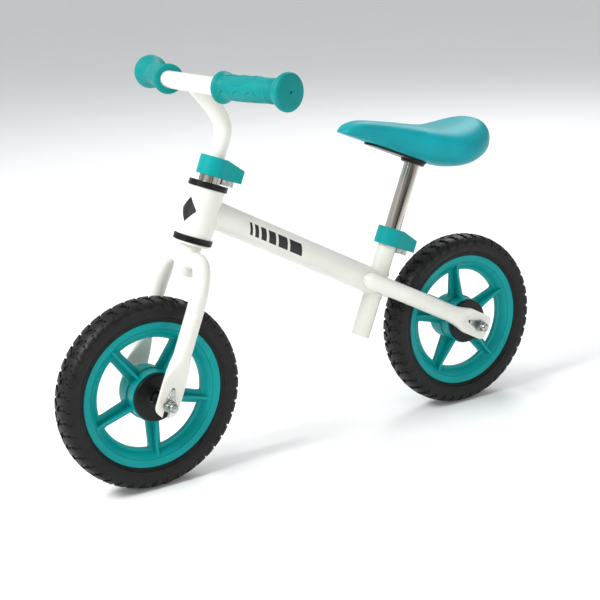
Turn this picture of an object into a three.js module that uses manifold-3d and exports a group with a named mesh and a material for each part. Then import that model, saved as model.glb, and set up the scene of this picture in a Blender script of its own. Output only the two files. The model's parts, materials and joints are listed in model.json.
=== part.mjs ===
// A child's balance bike: steel frame and fork, moulded wheels with foam tyres,
// clamped stem and seat post.  Millimetres, +Z up, the bike faces -Y, rider's left is +X.
// Origin: on the ground, under the middle of the wheelbase.
import * as THREE from 'three';
import { mergeVertices } from 'three/addons/utils/BufferGeometryUtils.js';
import Module from 'manifold-3d';

const wasm = await Module();
wasm.setup();

// ---------------------------------------------------------------- driving dimensions
const GAP = 0.3;                     // kept between pieces that touch
const WHEEL_RADIUS = 122;
const WHEEL_SIDES = 32;
const HALF_WHEELBASE = 243;
const AXLE_HEIGHT = WHEEL_RADIUS * Math.cos(Math.PI / WHEEL_SIDES);
const AXLE_RADIUS = 4;

const RIM_RADIUS = 93;
const RIM_HALF_WIDTH = 14.2;
const RIM_LIP_RADIUS = 71;
const SPOKE_COUNT = 5;
const FRONT_SPOKE_ANGLE = -17;       // degrees, first spoke from straight back
const REAR_SPOKE_ANGLE = 22;
const HUB_RADIUS = 32;
const HUB_HALF_LENGTH = 20;
const BEARING_RADIUS = 11;
const BEARING_WIDTH = 7;
const BEARING_INNER_END = 11;

const FORK_DROPOUT = 54;             // from the centre plane to the middle of a flattened leg end
const STAY_DROPOUT = 47;             // the same at the rear
const DROPOUT_HALF_THICKNESS = 2.3;

const HEAD_ANGLE = 22;               // degrees back from vertical
const HEAD_TUBE_RADIUS = 23;
const HEAD_TUBE_BOTTOM = 201;        // distances along the steering axis from the front axle
const HEAD_TUBE_TOP = 264.2;
const HEAD_JOINT = 236.6;            // where the main tube's axis meets the steering axis
const CUP_RADIUS = 25;
const CUP_HEIGHT = 6.5;
const STEERER_RADIUS = 14;
const STEERER_BOTTOM = 152;
const FORK_LEG_RADIUS = 11;
const STEM_CLAMP_BASE = 279.5;

const MAIN_TUBE_RADIUS = 18;
const STAY_RADIUS = 11.8;
const SEAT_ANGLE = 23;
const SEAT_JOINT_Y = 104.2;          // where the seat tube crosses the main tube's axis
const SEAT_TUBE_RADIUS = 12.7;
const SEAT_TUBE_BOTTOM = -75;        // distances along the seat tube from that crossing
const SEAT_CLAMP_BASE = 54;
const SADDLE_PLANE = 177.3;          // the saddle's underside
const POST_RADIUS = 11;
const TUBE_WALL = 1.6;

const CLAMP_COVER_HEIGHT = 24;
const CLAMP_COVER_RADIUS = 19.5;
const CLAMP_CAVITY_HEIGHT = 13.8;
const CLAMP_HOOD_LENGTH = 40;
const CLAMP_BOLT_BACK = 24;

const BAR_RADIUS = 11;
const BAR_HEIGHT = 497.5;
const BAR_FORWARD = -155;            // y of the bar's middle
const BAR_BEND = 62;                 // from the middle to each bend
const BAR_SWEEP = 13.5;               // degrees that each end sweeps back
const GRIP_LENGTH = 115;
const GRIP_START = 7.6;              // from the bend corner of the bar to the grip

// ---------------------------------------------------------------- finishes
const finish = (color, roughness, metalness) =>
  new THREE.MeshStandardMaterial({ color, roughness, metalness });
const whiteEnamel = finish(0xf0eee5, 0.3, 0.1);
const tealPlastic = finish(0x109c9c, 0.35, 0);
const tealRubber = finish(0x01a4a4, 0.6, 0);
const tealFoam = finish(0x00a8b2, 0.5, 0);
const blackPlastic = finish(0x1a1a1c, 0.4, 0);
const tyreFoam = finish(0x1c1b1a, 0.85, 0);
const zincSteel = finish(0xc9ccca, 0.35, 1);
const chromeSteel = finish(0xdad6cf, 0.12, 1);

// ---------------------------------------------------------------- geometry helpers
const radians = THREE.MathUtils.degToRad;
const X_AXIS = new THREE.Vector3(1, 0, 0);
const Y_AXIS = new THREE.Vector3(0, 1, 0);
const Z_AXIS = new THREE.Vector3(0, 0, 1);

// A solid for cutting and joining, from a closed three.js geometry.
function solidOf(geometry) {
  const bare = geometry.clone();
  bare.deleteAttribute('normal');
  bare.deleteAttribute('uv');
  const merged = mergeVertices(bare);
  return new wasm.Manifold(new wasm.Mesh({
    numProp: 3,
    vertProperties: new Float32Array(merged.attributes.position.array),
    triVerts: new Uint32Array(merged.index.array),
  }));
}

function geometryOf(solid) {
  const mesh = solid.getMesh();
  const geometry = new THREE.BufferGeometry();
  geometry.setAttribute('position', new THREE.BufferAttribute(mesh.vertProperties, 3));
  geometry.setIndex(new THREE.BufferAttribute(mesh.triVerts, 1));
  geometry.computeVertexNormals();
  return geometry;
}

const join = (first, ...others) =>
  geometryOf(others.reduce((sum, g) => sum.add(solidOf(g)), solidOf(first)));
const cut = (first, ...tools) =>
  geometryOf(tools.reduce((rest, g) => rest.subtract(solidOf(g)), solidOf(first)));

// Turns a profile of [radius, height] pairs round Z; the profile runs anticlockwise.
function lathe(profile, sides = 24, start = 0) {
  const points = profile.map(([radius, height]) => new THREE.Vector2(radius, height));
  return new THREE.LatheGeometry(points, sides, start).rotateX(Math.PI / 2);
}

const tube = (outer, inner, low, high, sides = 24) =>
  lathe([[inner, low], [outer, low], [outer, high], [inner, high], [inner, low]], sides);
const rod = (radius, low, high, sides = 16) =>
  lathe([[0, low], [radius, low], [radius, high], [0, high]], sides);
const alongX = (geometry) => geometry.rotateY(Math.PI / 2);
const box = (x, y, z, width, depth, height) =>
  new THREE.BoxGeometry(width, depth, height).translate(x, y, z);

const at = (x, y, z) => new THREE.Vector3(x, y, z);

function pathOf(...curves) {
  const path = new THREE.CurvePath();
  curves.forEach((curve) => path.add(curve));
  return path;
}

const line = (from, to) => new THREE.LineCurve3(from, to);

// Fractions of the path's length: each of its curves is split into its own number of steps.
function stopsOf(path, steps) {
  const ends = path.getCurveLengths();
  const stops = [0];
  ends.forEach((end, curve) => {
    const start = curve === 0 ? 0 : ends[curve - 1];
    for (let k = 1; k <= steps[curve]; k += 1) {
      stops.push(THREE.MathUtils.lerp(start, end, k / steps[curve]) / ends.at(-1));
    }
  });
  return stops;
}

// A bar along a flat path.  sizeAt(point) gives its half size along the path plane's normal,
// its half size across, how square the section is (2 is round) and a lift along the normal.
function sweep(path, steps, normal, sides, sizeAt) {
  const stops = stopsOf(path, steps);
  const rows = stops.length - 1;
  const geometry = new THREE.CylinderGeometry(1, 1, 1, sides, rows);
  const position = geometry.attributes.position;
  for (let i = 0; i < position.count; i += 1) {
    const t = Math.min(1, stops[Math.round((position.getY(i) + 0.5) * rows)]);
    const point = path.getPointAt(t);
    const [tall, wide, square = 2, lift = 0] = sizeAt(point);
    const bulge = (value) =>
      (Math.abs(value) < 1e-9 ? 0 : Math.sign(value) * Math.abs(value) ** (2 / square));
    const across = new THREE.Vector3().crossVectors(normal, path.getTangentAt(t));
    point.addScaledVector(normal, lift + tall * bulge(position.getX(i)));
    point.addScaledVector(across, wide * bulge(position.getZ(i)));
    position.setXYZ(i, point.x, point.y, point.z);
  }
  return geometry;
}

const mix = THREE.MathUtils.lerp;
const ramp = (value, low, high) => THREE.MathUtils.smoothstep(value, low, high);

// The frame whose Z points along (0, dy, dz) from a point on the centre plane.
function tiltedFrame(y, z, dy, dz) {
  const turn = new THREE.Matrix4().makeRotationX(-Math.atan2(dy, dz));
  return new THREE.Matrix4().makeTranslation(0, y, z).multiply(turn);
}

const headFrame = tiltedFrame(-HALF_WHEELBASE, AXLE_HEIGHT,
  Math.sin(radians(HEAD_ANGLE)), Math.cos(radians(HEAD_ANGLE)));
const headJoint = at(0, 0, HEAD_JOINT).applyMatrix4(headFrame);
const rearAxle = at(0, HALF_WHEELBASE, AXLE_HEIGHT);
const mainFrame = tiltedFrame(headJoint.y, headJoint.z,
  rearAxle.y - headJoint.y, rearAxle.z - headJoint.z);
const mainLength = headJoint.distanceTo(rearAxle);
const seatCrossing = mainLength * (SEAT_JOINT_Y - headJoint.y) / (rearAxle.y - headJoint.y);
const seatJoint = at(0, 0, seatCrossing).applyMatrix4(mainFrame);
const seatFrame = tiltedFrame(seatJoint.y, seatJoint.z,
  Math.sin(radians(SEAT_ANGLE)), Math.cos(radians(SEAT_ANGLE)));

const bike = new THREE.Group();

function assembly(matrix = new THREE.Matrix4()) {
  const group = new THREE.Group();
  group.applyMatrix4(matrix);
  bike.add(group);
  return group;
}

function piece(group, name, geometry, material) {
  const mesh = new THREE.Mesh(geometry, material);
  mesh.name = name;
  group.add(mesh);
}

// A left piece and its twin turned half round, on the other side.
function pair(group, name, makeLeft, material) {
  piece(group, `${name}_left`, makeLeft(), material);
  piece(group, `${name}_right`, makeLeft().rotateZ(Math.PI), material);
}

// ---------------------------------------------------------------- wheels
function tyreShape() {
  const bead = RIM_RADIUS + GAP;
  const side = [[bead, 15.5], [104, 20], [113, 21], [118, 18.5], [121.2, 13], [WHEEL_RADIUS, 6]];
  const lower = side.map(([radius, across]) => [radius, -across]);
  const profile = [...lower, ...side.reverse(), lower[0]];
  return alongX(lathe(profile, WHEEL_SIDES, -Math.PI / WHEEL_SIDES));
}

function rimRing() {
  const side = [[RIM_LIP_RADIUS, 3], [75.5, 3.5], [82, 12], [RIM_RADIUS, RIM_HALF_WIDTH]];
  const lower = side.map(([radius, across]) => [radius, -across]);
  return alongX(lathe([...lower, ...side.reverse(), lower[0]], WHEEL_SIDES, -Math.PI / WHEEL_SIDES));
}

// A cross-shaped spoke: a flat web in the wheel's plane and a thin blade square to it.
function spoke(angle) {
  const web = box(0, 51, 0, 5, 48, 17);
  const outline = [[29, -16], [70, -10], [81.5, -11.4], [81.5, 11.4], [70, 10], [29, 16]];
  const shape = new THREE.Shape(outline.map(([out, across]) => new THREE.Vector2(across, out)));
  const blade = new THREE.ExtrudeGeometry(shape, { depth: 3.6, bevelEnabled: false });
  blade.translate(0, 0, -1.8);
  return [web, blade].map((part) => part.rotateX(angle));
}

function hub() {
  const wall = 3;
  const barrel = tube(HUB_RADIUS, HUB_RADIUS - wall, -HUB_HALF_LENGTH, HUB_HALF_LENGTH, 20);
  const web = tube(HUB_RADIUS - 1, 13, -2, 2, 20);
  const seat = BEARING_RADIUS + GAP;
  const sleeve = tube(seat + wall, seat, -18.5, 18.5, 12);
  const waist = BEARING_INNER_END - GAP;
  const spacer = tube(seat + 1, 8, -waist, waist, 12);
  return [barrel, web, sleeve, spacer].map(alongX);
}

function rimShape(firstSpoke) {
  const spokes = [];
  for (let i = 0; i < SPOKE_COUNT; i += 1) {
    spokes.push(...spoke(radians(firstSpoke) + (i * 2 * Math.PI) / SPOKE_COUNT));
  }
  const hollow = alongX(rod(HUB_RADIUS - 2, -HUB_HALF_LENGTH - 1, HUB_HALF_LENGTH + 1, 20));
  const trimmed = cut(join(...spokes), hollow);
  return join(rimRing(), trimmed, ...hub());
}

function hubCap() {
  const face = HUB_HALF_LENGTH + GAP;
  return alongX(tube(30.5, 9, face, face + 4, 20));
}

const wheelBearing = () => alongX(
  tube(BEARING_RADIUS, AXLE_RADIUS + GAP, BEARING_INNER_END, BEARING_INNER_END + BEARING_WIDTH, 12));

function wheel(prefix, y, firstSpoke) {
  const group = assembly(new THREE.Matrix4().makeTranslation(0, y, AXLE_HEIGHT));
  piece(group, `${prefix}_tyre`, tyreShape(), tyreFoam);
  piece(group, `${prefix}_rim`, rimShape(firstSpoke), tealPlastic);
  pair(group, `${prefix}_hub_cap`, hubCap, blackPlastic);
  pair(group, `${prefix}_wheel_bearing`, wheelBearing, zincSteel);
}

// ---------------------------------------------------------------- axle fittings
// Each fitting is drawn from the outer face of the dropout outwards.
const WASHER_THICKNESS = 1.5;
const NUT_FACE = WASHER_THICKNESS + 2 * GAP;
const TAB_REACH = 19;

function domeNut() {
  const hexagon = rod(7.4, NUT_FACE, NUT_FACE + 6, 6);
  const dome = lathe([[0, NUT_FACE + 5], [6, NUT_FACE + 5], [6, NUT_FACE + 8.5],
    [4.6, NUT_FACE + 12.4], [0, NUT_FACE + 14.2]], 12);
  const thread = rod(AXLE_RADIUS + GAP, NUT_FACE - 1, NUT_FACE + 7.5, 12);
  return alongX(cut(join(hexagon, dome), thread));
}

// A washer with a pointed tab, whose hook drops into a small hole in the tube end.
function tabWasher(turn) {
  const shape = new THREE.Shape();
  shape.absarc(0, 0, 8.5, radians(45), radians(315), false);
  shape.lineTo(TAB_REACH + 1.5, -2);
  shape.lineTo(TAB_REACH + 1.5, 2);
  const hole = new THREE.Path().absarc(0, 0, AXLE_RADIUS + GAP, 0, 2 * Math.PI, true);
  shape.holes.push(hole);
  const plate = new THREE.ExtrudeGeometry(shape,
    { depth: WASHER_THICKNESS, bevelEnabled: false, curveSegments: 9 });
  const hook = rod(1.5, -3, 1, 6).translate(TAB_REACH, 0, 0);
  return alongX(join(plate, hook).translate(0, 0, GAP)).rotateX(turn);
}

function axleSet(prefix, group, dropout, tabTurn) {
  const face = dropout + DROPOUT_HALF_THICKNESS;
  const half = face + NUT_FACE + 7;
  const spacerStart = BEARING_INNER_END + BEARING_WIDTH + GAP;
  const spacerEnd = dropout - DROPOUT_HALF_THICKNESS - GAP;
  piece(group, `${prefix}_axle`, alongX(rod(AXLE_RADIUS, -half, half, 12)), zincSteel);
  pair(group, `${prefix}_axle_nut`, () => domeNut().translate(face, 0, 0), zincSteel);
  pair(group, `${prefix}_axle_spacer`,
    () => alongX(tube(8, AXLE_RADIUS + GAP, spacerStart, spacerEnd, 12)), zincSteel);
  pair(group, `${prefix}_tab_washer`, () => tabWasher(tabTurn).translate(face, 0, 0), zincSteel);
}

// ---------------------------------------------------------------- fork
const legSign = { left: 1, right: -1 };

function forkLeg(side) {
  const sx = legSign[side];
  const x = sx * FORK_DROPOUT;
  const [bendEnd, flatStart, flatEnd, tipStart, tip] = [115, 62, 28, -6, -15.5];
  const bend = new THREE.CubicBezierCurve3(at(sx * 6, 0, 168), at(sx * 39, 0, 186),
    at(x, 0, 162), at(x, 0, bendEnd));
  const heights = [bendEnd, flatStart, flatEnd, tipStart, tip];
  const lines = heights.slice(1).map((low, i) => line(at(x, 0, heights[i]), at(x, 0, low)));
  const size = (point) => {
    const flat = 1 - ramp(point.z, flatEnd, flatStart);
    const rounding = Math.sqrt(Math.max(0.1, 1 - Math.max(0, (tipStart - point.z) / 10) ** 2));
    return [mix(FORK_LEG_RADIUS, 15.5, flat) * rounding,
      mix(FORK_LEG_RADIUS, DROPOUT_HALF_THICKNESS, flat), mix(2, 7, flat)];
  };
  const inner = FORK_LEG_RADIUS - TUBE_WALL;
  const outer = sweep(pathOf(bend, ...lines), [7, 1, 4, 1, 3], Y_AXIS, 14, size);
  const bore = sweep(pathOf(bend, lines[0]), [6, 1], Y_AXIS, 10, () => [inner, inner]);
  const steerer = rod(STEERER_RADIUS + GAP, 100, 200, 24);
  const slot = join(box(x, 0, -15, 8, 2 * AXLE_RADIUS + 0.8, 30),
    alongX(rod(AXLE_RADIUS + 0.4, x - 4, x + 4, 12)));
  const tabHole = alongX(rod(2.4, x - 4, x + 4, 8)).translate(0, 0, TAB_REACH);
  return cut(outer, bore, steerer, slot, tabHole);
}

function steererTube() {
  const top = STEM_CLAMP_BASE + CLAMP_CAVITY_HEIGHT - 0.5;
  const wall = tube(STEERER_RADIUS, POST_RADIUS + GAP, STEERER_BOTTOM, top);
  return cut(wall, box(0, 14, top, 3, 12, 2 * (top - 273)));
}

function crownRace() {
  return tube(HEAD_TUBE_RADIUS, STEERER_RADIUS + GAP, 190.5, HEAD_TUBE_BOTTOM - CUP_HEIGHT - 2 * GAP);
}

function headsetCup(seat, way) {
  const bore = STEERER_RADIUS + 0.4;
  const spigot = HEAD_TUBE_RADIUS - 3 - GAP;
  const profile = [[bore, -6], [spigot, -6], [spigot, 0], [CUP_RADIUS, 0],
    [CUP_RADIUS, CUP_HEIGHT], [bore, CUP_HEIGHT], [bore, -6]];
  const cup = lathe(profile);
  return (way < 0 ? cup.rotateX(Math.PI) : cup).translate(0, 0, seat);
}

// ---------------------------------------------------------------- tube clamps
function hoodOutline(inset) {
  const radius = CLAMP_COVER_RADIUS - inset;
  const tip = CLAMP_HOOD_LENGTH - inset;
  const wide = 13 - inset;
  const from = radians(27);
  const shape = new THREE.Shape();
  shape.moveTo(wide, tip - 6);
  shape.quadraticCurveTo(wide - 0.6, tip, wide - 6, tip);
  shape.lineTo(6 - wide, tip);
  shape.quadraticCurveTo(0.6 - wide, tip, -wide, tip - 6);
  shape.absarc(0, 0, radius, Math.PI - from, 2 * Math.PI + from, false);
  return shape;
}

function clampCover(base) {
  const solid = (inset, height, low) => new THREE.ExtrudeGeometry(hoodOutline(inset),
    { depth: height, bevelEnabled: false, curveSegments: 9 }).translate(0, 0, low);
  const slope = Math.atan2(7.5, CLAMP_HOOD_LENGTH - 9);
  const wedge = new THREE.BoxGeometry(60, 60, 20).translate(0, 30, 10).rotateX(-slope)
    .translate(0, 9, CLAMP_COVER_HEIGHT);
  const cover = cut(solid(0, CLAMP_COVER_HEIGHT, 0), wedge,
    solid(2.4, CLAMP_CAVITY_HEIGHT + 1, -1), rod(POST_RADIUS + 0.6, 0, 30, 24));
  return cover.translate(0, 0, base);
}

function clampBand(base, tubeRadius) {
  const inner = tubeRadius + GAP;
  const ring = tube(inner + 2.4, inner, 1, 13);
  const ear = (side) => box(side * 3.6, (inner + 31) / 2, 3, 4.2, 31 - inner, 20);
  const split = box(0, 20, 3, 3, 30, 30);
  const boltHole = alongX(rod(2.9, -8, 8, 8)).translate(0, CLAMP_BOLT_BACK, 6);
  const clear = rod(inner, -20, 20, 24);
  return cut(join(ring, ear(1), ear(-1)), clear, split, boltHole).translate(0, 0, base);
}

function clampBolt(base) {
  const shank = rod(2.5, -10.3, 7, 8);
  const head = rod(4.6, 6.1, 10.3, 12);
  return alongX(join(shank, head)).translate(0, CLAMP_BOLT_BACK, base + 6);
}

function clampNut(base) {
  const nut = cut(rod(4.8, -10, -6.1, 6), rod(2.8, -12, 0, 8));
  return alongX(nut).translate(0, CLAMP_BOLT_BACK, base + 6);
}

function clampSet(group, prefix, base, tubeRadius) {
  piece(group, `${prefix}_clamp_cover`, clampCover(base), tealPlastic);
  piece(group, `${prefix}_clamp_band`, clampBand(base, tubeRadius), zincSteel);
  piece(group, `${prefix}_clamp_bolt`, clampBolt(base), zincSteel);
  piece(group, `${prefix}_clamp_nut`, clampNut(base), zincSteel);
}

// ---------------------------------------------------------------- frame tubes
const headBlock = (radius) => rod(radius, 150, 320, 24).applyMatrix4(headFrame);
const seatBlock = (radius) => rod(radius, -100, 110, 24).applyMatrix4(seatFrame);
const mainBlock = (radius) => rod(radius, -10, seatCrossing + 22, 24).applyMatrix4(mainFrame);

function mainTube() {
  const wall = tube(MAIN_TUBE_RADIUS, MAIN_TUBE_RADIUS - TUBE_WALL, 0, seatCrossing + 4);
  wall.applyMatrix4(mainFrame);
  const trimmed = solidOf(wall).subtract(solidOf(headBlock(HEAD_TUBE_RADIUS + GAP)))
    .subtract(solidOf(seatBlock(SEAT_TUBE_RADIUS + GAP)));
  const [largest] = trimmed.decompose().sort((a, b) => b.volume() - a.volume());
  return geometryOf(largest);
}

function seatTube() {
  const top = SEAT_CLAMP_BASE + CLAMP_CAVITY_HEIGHT - 0.5;
  const wall = tube(SEAT_TUBE_RADIUS, POST_RADIUS + GAP, SEAT_TUBE_BOTTOM, top);
  return cut(wall, box(0, 14, top, 3, 12, 36));
}

function stay(side) {
  const sx = legSign[side];
  const x = sx * STAY_DROPOUT;
  const start = seatCrossing;
  const [bendEnd, flatEnd, cornerStart, end] =
    [start + 95, mainLength - 24, mainLength + 11, mainLength + 17];
  const bend = new THREE.CubicBezierCurve3(at(sx * 15, 0, start - 34), at(sx * 32, 0, start),
    at(sx * 44, 0, start + 40), at(x, 0, bendEnd));
  const places = [bendEnd, flatEnd, cornerStart, end];
  const lines = places.slice(1).map((far, i) => line(at(x, 0, places[i]), at(x, 0, far)));
  const size = (point) => {
    const flat = ramp(point.z, bendEnd, flatEnd);
    const corner = Math.max(0, (point.z - cornerStart) / (end - cornerStart));
    return [mix(STAY_RADIUS, 17.5, flat) * (1 - 0.24 * corner ** 2),
      mix(STAY_RADIUS, DROPOUT_HALF_THICKNESS, flat), mix(2, 8, flat)];
  };
  const inner = STAY_RADIUS - TUBE_WALL;
  const outer = sweep(pathOf(bend, ...lines), [8, 4, 1, 2], Y_AXIS, 14, size);
  const bore = sweep(pathOf(bend), [7], Y_AXIS, 10, () => [inner, inner]);
  const axleHole = alongX(rod(AXLE_RADIUS + 0.4, x - 5, x + 5, 12)).translate(0, 0, mainLength);
  const tabHole = alongX(rod(2.4, x - 5, x + 5, 8)).translate(0, 0, mainLength - TAB_REACH);
  const placed = cut(outer, bore, axleHole, tabHole).applyMatrix4(mainFrame);
  return cut(placed, mainBlock(MAIN_TUBE_RADIUS + GAP), seatBlock(SEAT_TUBE_RADIUS + GAP));
}

// ---------------------------------------------------------------- handlebar
const barMiddle = at(0, BAR_FORWARD, BAR_HEIGHT);
const sweepWay = (sx) => at(sx * Math.cos(radians(BAR_SWEEP)), Math.sin(radians(BAR_SWEEP)), 0);
const bendCorner = (sx) => at(sx * BAR_BEND, BAR_FORWARD, BAR_HEIGHT);
const outAlong = (sx, distance) => bendCorner(sx).addScaledVector(sweepWay(sx), distance);

function barPath(reach) {
  const inner = (sx) => at(sx * (BAR_BEND - 7), BAR_FORWARD, BAR_HEIGHT);
  return pathOf(
    line(outAlong(-1, reach), outAlong(-1, 7)),
    new THREE.QuadraticBezierCurve3(outAlong(-1, 7), bendCorner(-1), inner(-1)),
    line(inner(-1), inner(1)),
    new THREE.QuadraticBezierCurve3(inner(1), bendCorner(1), outAlong(1, 7)),
    line(outAlong(1, 7), outAlong(1, reach)));
}

function handlebarTube() {
  const reach = GRIP_START + GRIP_LENGTH - 5;
  const bore = BAR_RADIUS - TUBE_WALL;
  const outer = sweep(barPath(reach), [1, 2, 1, 2, 1], Z_AXIS, 16, () => [BAR_RADIUS, BAR_RADIUS]);
  return cut(outer, sweep(barPath(reach + 5), [1, 2, 1, 2, 1], Z_AXIS, 12, () => [bore, bore]));
}

function stemTube() {
  const foot = at(0, 0, 206).applyMatrix4(headFrame);
  const bendStart = at(0, 0, 330).applyMatrix4(headFrame);
  const way = bendStart.clone().sub(foot).normalize();
  const arrival = at(0, -0.65, 0.76);
  const bend = new THREE.CubicBezierCurve3(bendStart, bendStart.clone().addScaledVector(way, 22),
    barMiddle.clone().addScaledVector(arrival, -30), barMiddle);
  const lower = foot.clone().addScaledVector(way, -5);
  const inner = POST_RADIUS - 1.8;
  const outer = sweep(pathOf(line(foot, bendStart), bend), [1, 9], X_AXIS, 16,
    () => [POST_RADIUS, POST_RADIUS]);
  const bore = sweep(pathOf(line(lower, bendStart), bend), [1, 7], X_AXIS, 10, () => [inner, inner]);
  const bar = alongX(rod(BAR_RADIUS + GAP, -30, 30, 16)).translate(0, BAR_FORWARD, BAR_HEIGHT);
  return cut(outer, bore, bar);
}

function gripShape() {
  const bore = BAR_RADIUS + GAP;
  const end = GRIP_LENGTH;
  const ribs = [86, 90, 94].flatMap((h) => [[14.2, h - 1.5], [15.2, h]]);
  return lathe([[0, end - 3.5], [bore, end - 3.5], [bore, 0], [17.5, 0], [19.3, 2], [19.3, 5.5],
    [14.8, 12], ...ribs, [16.5, 98.5], [22.5, 109], [21.2, 113.8], [0, end]], 14);
}

function grip(sx) {
  const way = sweepWay(sx);
  const turn = new THREE.Matrix4().makeRotationZ(Math.atan2(way.y, way.x));
  const start = outAlong(sx, GRIP_START);
  const place = new THREE.Matrix4().makeTranslation(start.x, start.y, start.z).multiply(turn);
  return alongX(gripShape()).applyMatrix4(place);
}

// ---------------------------------------------------------------- saddle
// Stations along the saddle: y, top, bottom and half width.
const SADDLE_STATIONS = [
  [54, 411, 409.5, 5], [58, 415.5, 408, 10.7], [66, 421, 404, 15.9], [85, 423.7, 397, 20.1],
  [115, 419.4, 384, 24.7], [150, 413, 367, 35], [180, 407, 354, 52], [210, 403.3, 347, 63.6],
  [235, 405, 346, 62.4], [255, 408.1, 349.6, 54], [270, 408.2, 353, 42.5],
  [281, 402, 357.4, 31], [289, 392.5, 365.5, 21], [294, 382, 372.5, 11],
];

function saddleAt(y) {
  const last = SADDLE_STATIONS.length - 2;
  const next = SADDLE_STATIONS.findIndex((station) => station[0] > y) - 1;
  const i = next < 0 ? last : next;
  const [low, high] = [SADDLE_STATIONS[i], SADDLE_STATIONS[i + 1]];
  const t = (y - low[0]) / (high[0] - low[0]);
  return low.map((value, k) => mix(value, high[k], t));
}

function saddlePad() {
  const nose = SADDLE_STATIONS[0][0];
  const tail = SADDLE_STATIONS.at(-1)[0];
  const size = (point) => {
    const [, top, bottom, wide] = saddleAt(point.y);
    return [(top - bottom) / 2, wide, 2.5, (top + bottom) / 2];
  };
  const body = sweep(pathOf(line(at(0, nose, 0), at(0, tail, 0))), [20], Z_AXIS, 18, size);
  const below = box(0, 0, SADDLE_PLANE - 100, 400, 500, 200).applyMatrix4(seatFrame);
  return cut(body, below);
}

function saddleBase() {
  const shape = new THREE.Shape();
  shape.moveTo(0, -82);
  shape.splineThru([[11, -77], [14, -64], [17, -35], [21, -10], [23, 6], [19, 17], [0, 21],
    [-19, 17], [-23, 6], [-21, -10], [-17, -35], [-14, -64], [-11, -77], [0, -82]]
    .map(([x, y]) => new THREE.Vector2(x, y)));
  const plate = new THREE.ExtrudeGeometry(shape, { depth: 2.7, bevelEnabled: false, curveSegments: 1 })
    .translate(0, 0, SADDLE_PLANE - 3);
  const boss = rod(16.5, SADDLE_PLANE - 7.5, SADDLE_PLANE - 2, 20);
  const socket = rod(POST_RADIUS + GAP, SADDLE_PLANE - 20, SADDLE_PLANE - 2, 20);
  return cut(join(plate, boss), socket);
}

// ---------------------------------------------------------------- the whole bike
wheel('front', -HALF_WHEELBASE, FRONT_SPOKE_ANGLE);
wheel('rear', HALF_WHEELBASE, REAR_SPOKE_ANGLE);

const head = assembly(headFrame);
const bearingRing = (low) => tube(HEAD_TUBE_RADIUS - 3 - GAP, STEERER_RADIUS + 0.4, low, low + 6);
piece(head, 'head_tube', tube(HEAD_TUBE_RADIUS, HEAD_TUBE_RADIUS - 3, HEAD_TUBE_BOTTOM, HEAD_TUBE_TOP),
  whiteEnamel);
piece(head, 'upper_headset_cup', headsetCup(HEAD_TUBE_TOP + GAP, 1), blackPlastic);
piece(head, 'lower_headset_cup', headsetCup(HEAD_TUBE_BOTTOM - GAP, -1), blackPlastic);
piece(head, 'upper_headset_bearing', bearingRing(HEAD_TUBE_TOP - 12.5), zincSteel);
piece(head, 'lower_headset_bearing', bearingRing(HEAD_TUBE_BOTTOM + 6.5), zincSteel);
piece(head, 'steerer_tube', steererTube(), chromeSteel);
piece(head, 'crown_race', crownRace(), whiteEnamel);
piece(head, 'fork_leg_left', forkLeg('left'), whiteEnamel);
piece(head, 'fork_leg_right', forkLeg('right'), whiteEnamel);
clampSet(head, 'stem', STEM_CLAMP_BASE, STEERER_RADIUS);
axleSet('front', head, FORK_DROPOUT, Math.PI);

const whole = assembly();
piece(whole, 'main_tube', mainTube(), whiteEnamel);
piece(whole, 'stay_left', stay('left'), whiteEnamel);
piece(whole, 'stay_right', stay('right'), whiteEnamel);
piece(whole, 'handlebar_tube', handlebarTube(), whiteEnamel);
piece(whole, 'handlebar_stem', stemTube(), whiteEnamel);
piece(whole, 'grip_left', grip(1), tealRubber);
piece(whole, 'grip_right', grip(-1), tealRubber);
piece(whole, 'saddle_pad', saddlePad(), tealFoam);

const seat = assembly(seatFrame);
piece(seat, 'seat_tube', seatTube(), whiteEnamel);
piece(seat, 'seat_post', tube(POST_RADIUS, POST_RADIUS - TUBE_WALL, -5, SADDLE_PLANE - 2.3, 20), chromeSteel);
piece(seat, 'saddle_base', saddleBase(), blackPlastic);
clampSet(seat, 'seat', SEAT_CLAMP_BASE, SEAT_TUBE_RADIUS);

const tail = assembly(mainFrame.clone().multiply(new THREE.Matrix4().makeTranslation(0, 0, mainLength)));
axleSet('rear', tail, STAY_DROPOUT, 0);

export default bike;
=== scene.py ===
# %% [markdown]
# # A child's balance bike
# The imported model fixes every size and place, so this lesson only makes the surfaces.

# %% Load the fixed frame
import json
import math

import bmesh
import bpy
from mathutils import Matrix, Vector
from mathutils.geometry import interpolate_bezier


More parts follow.
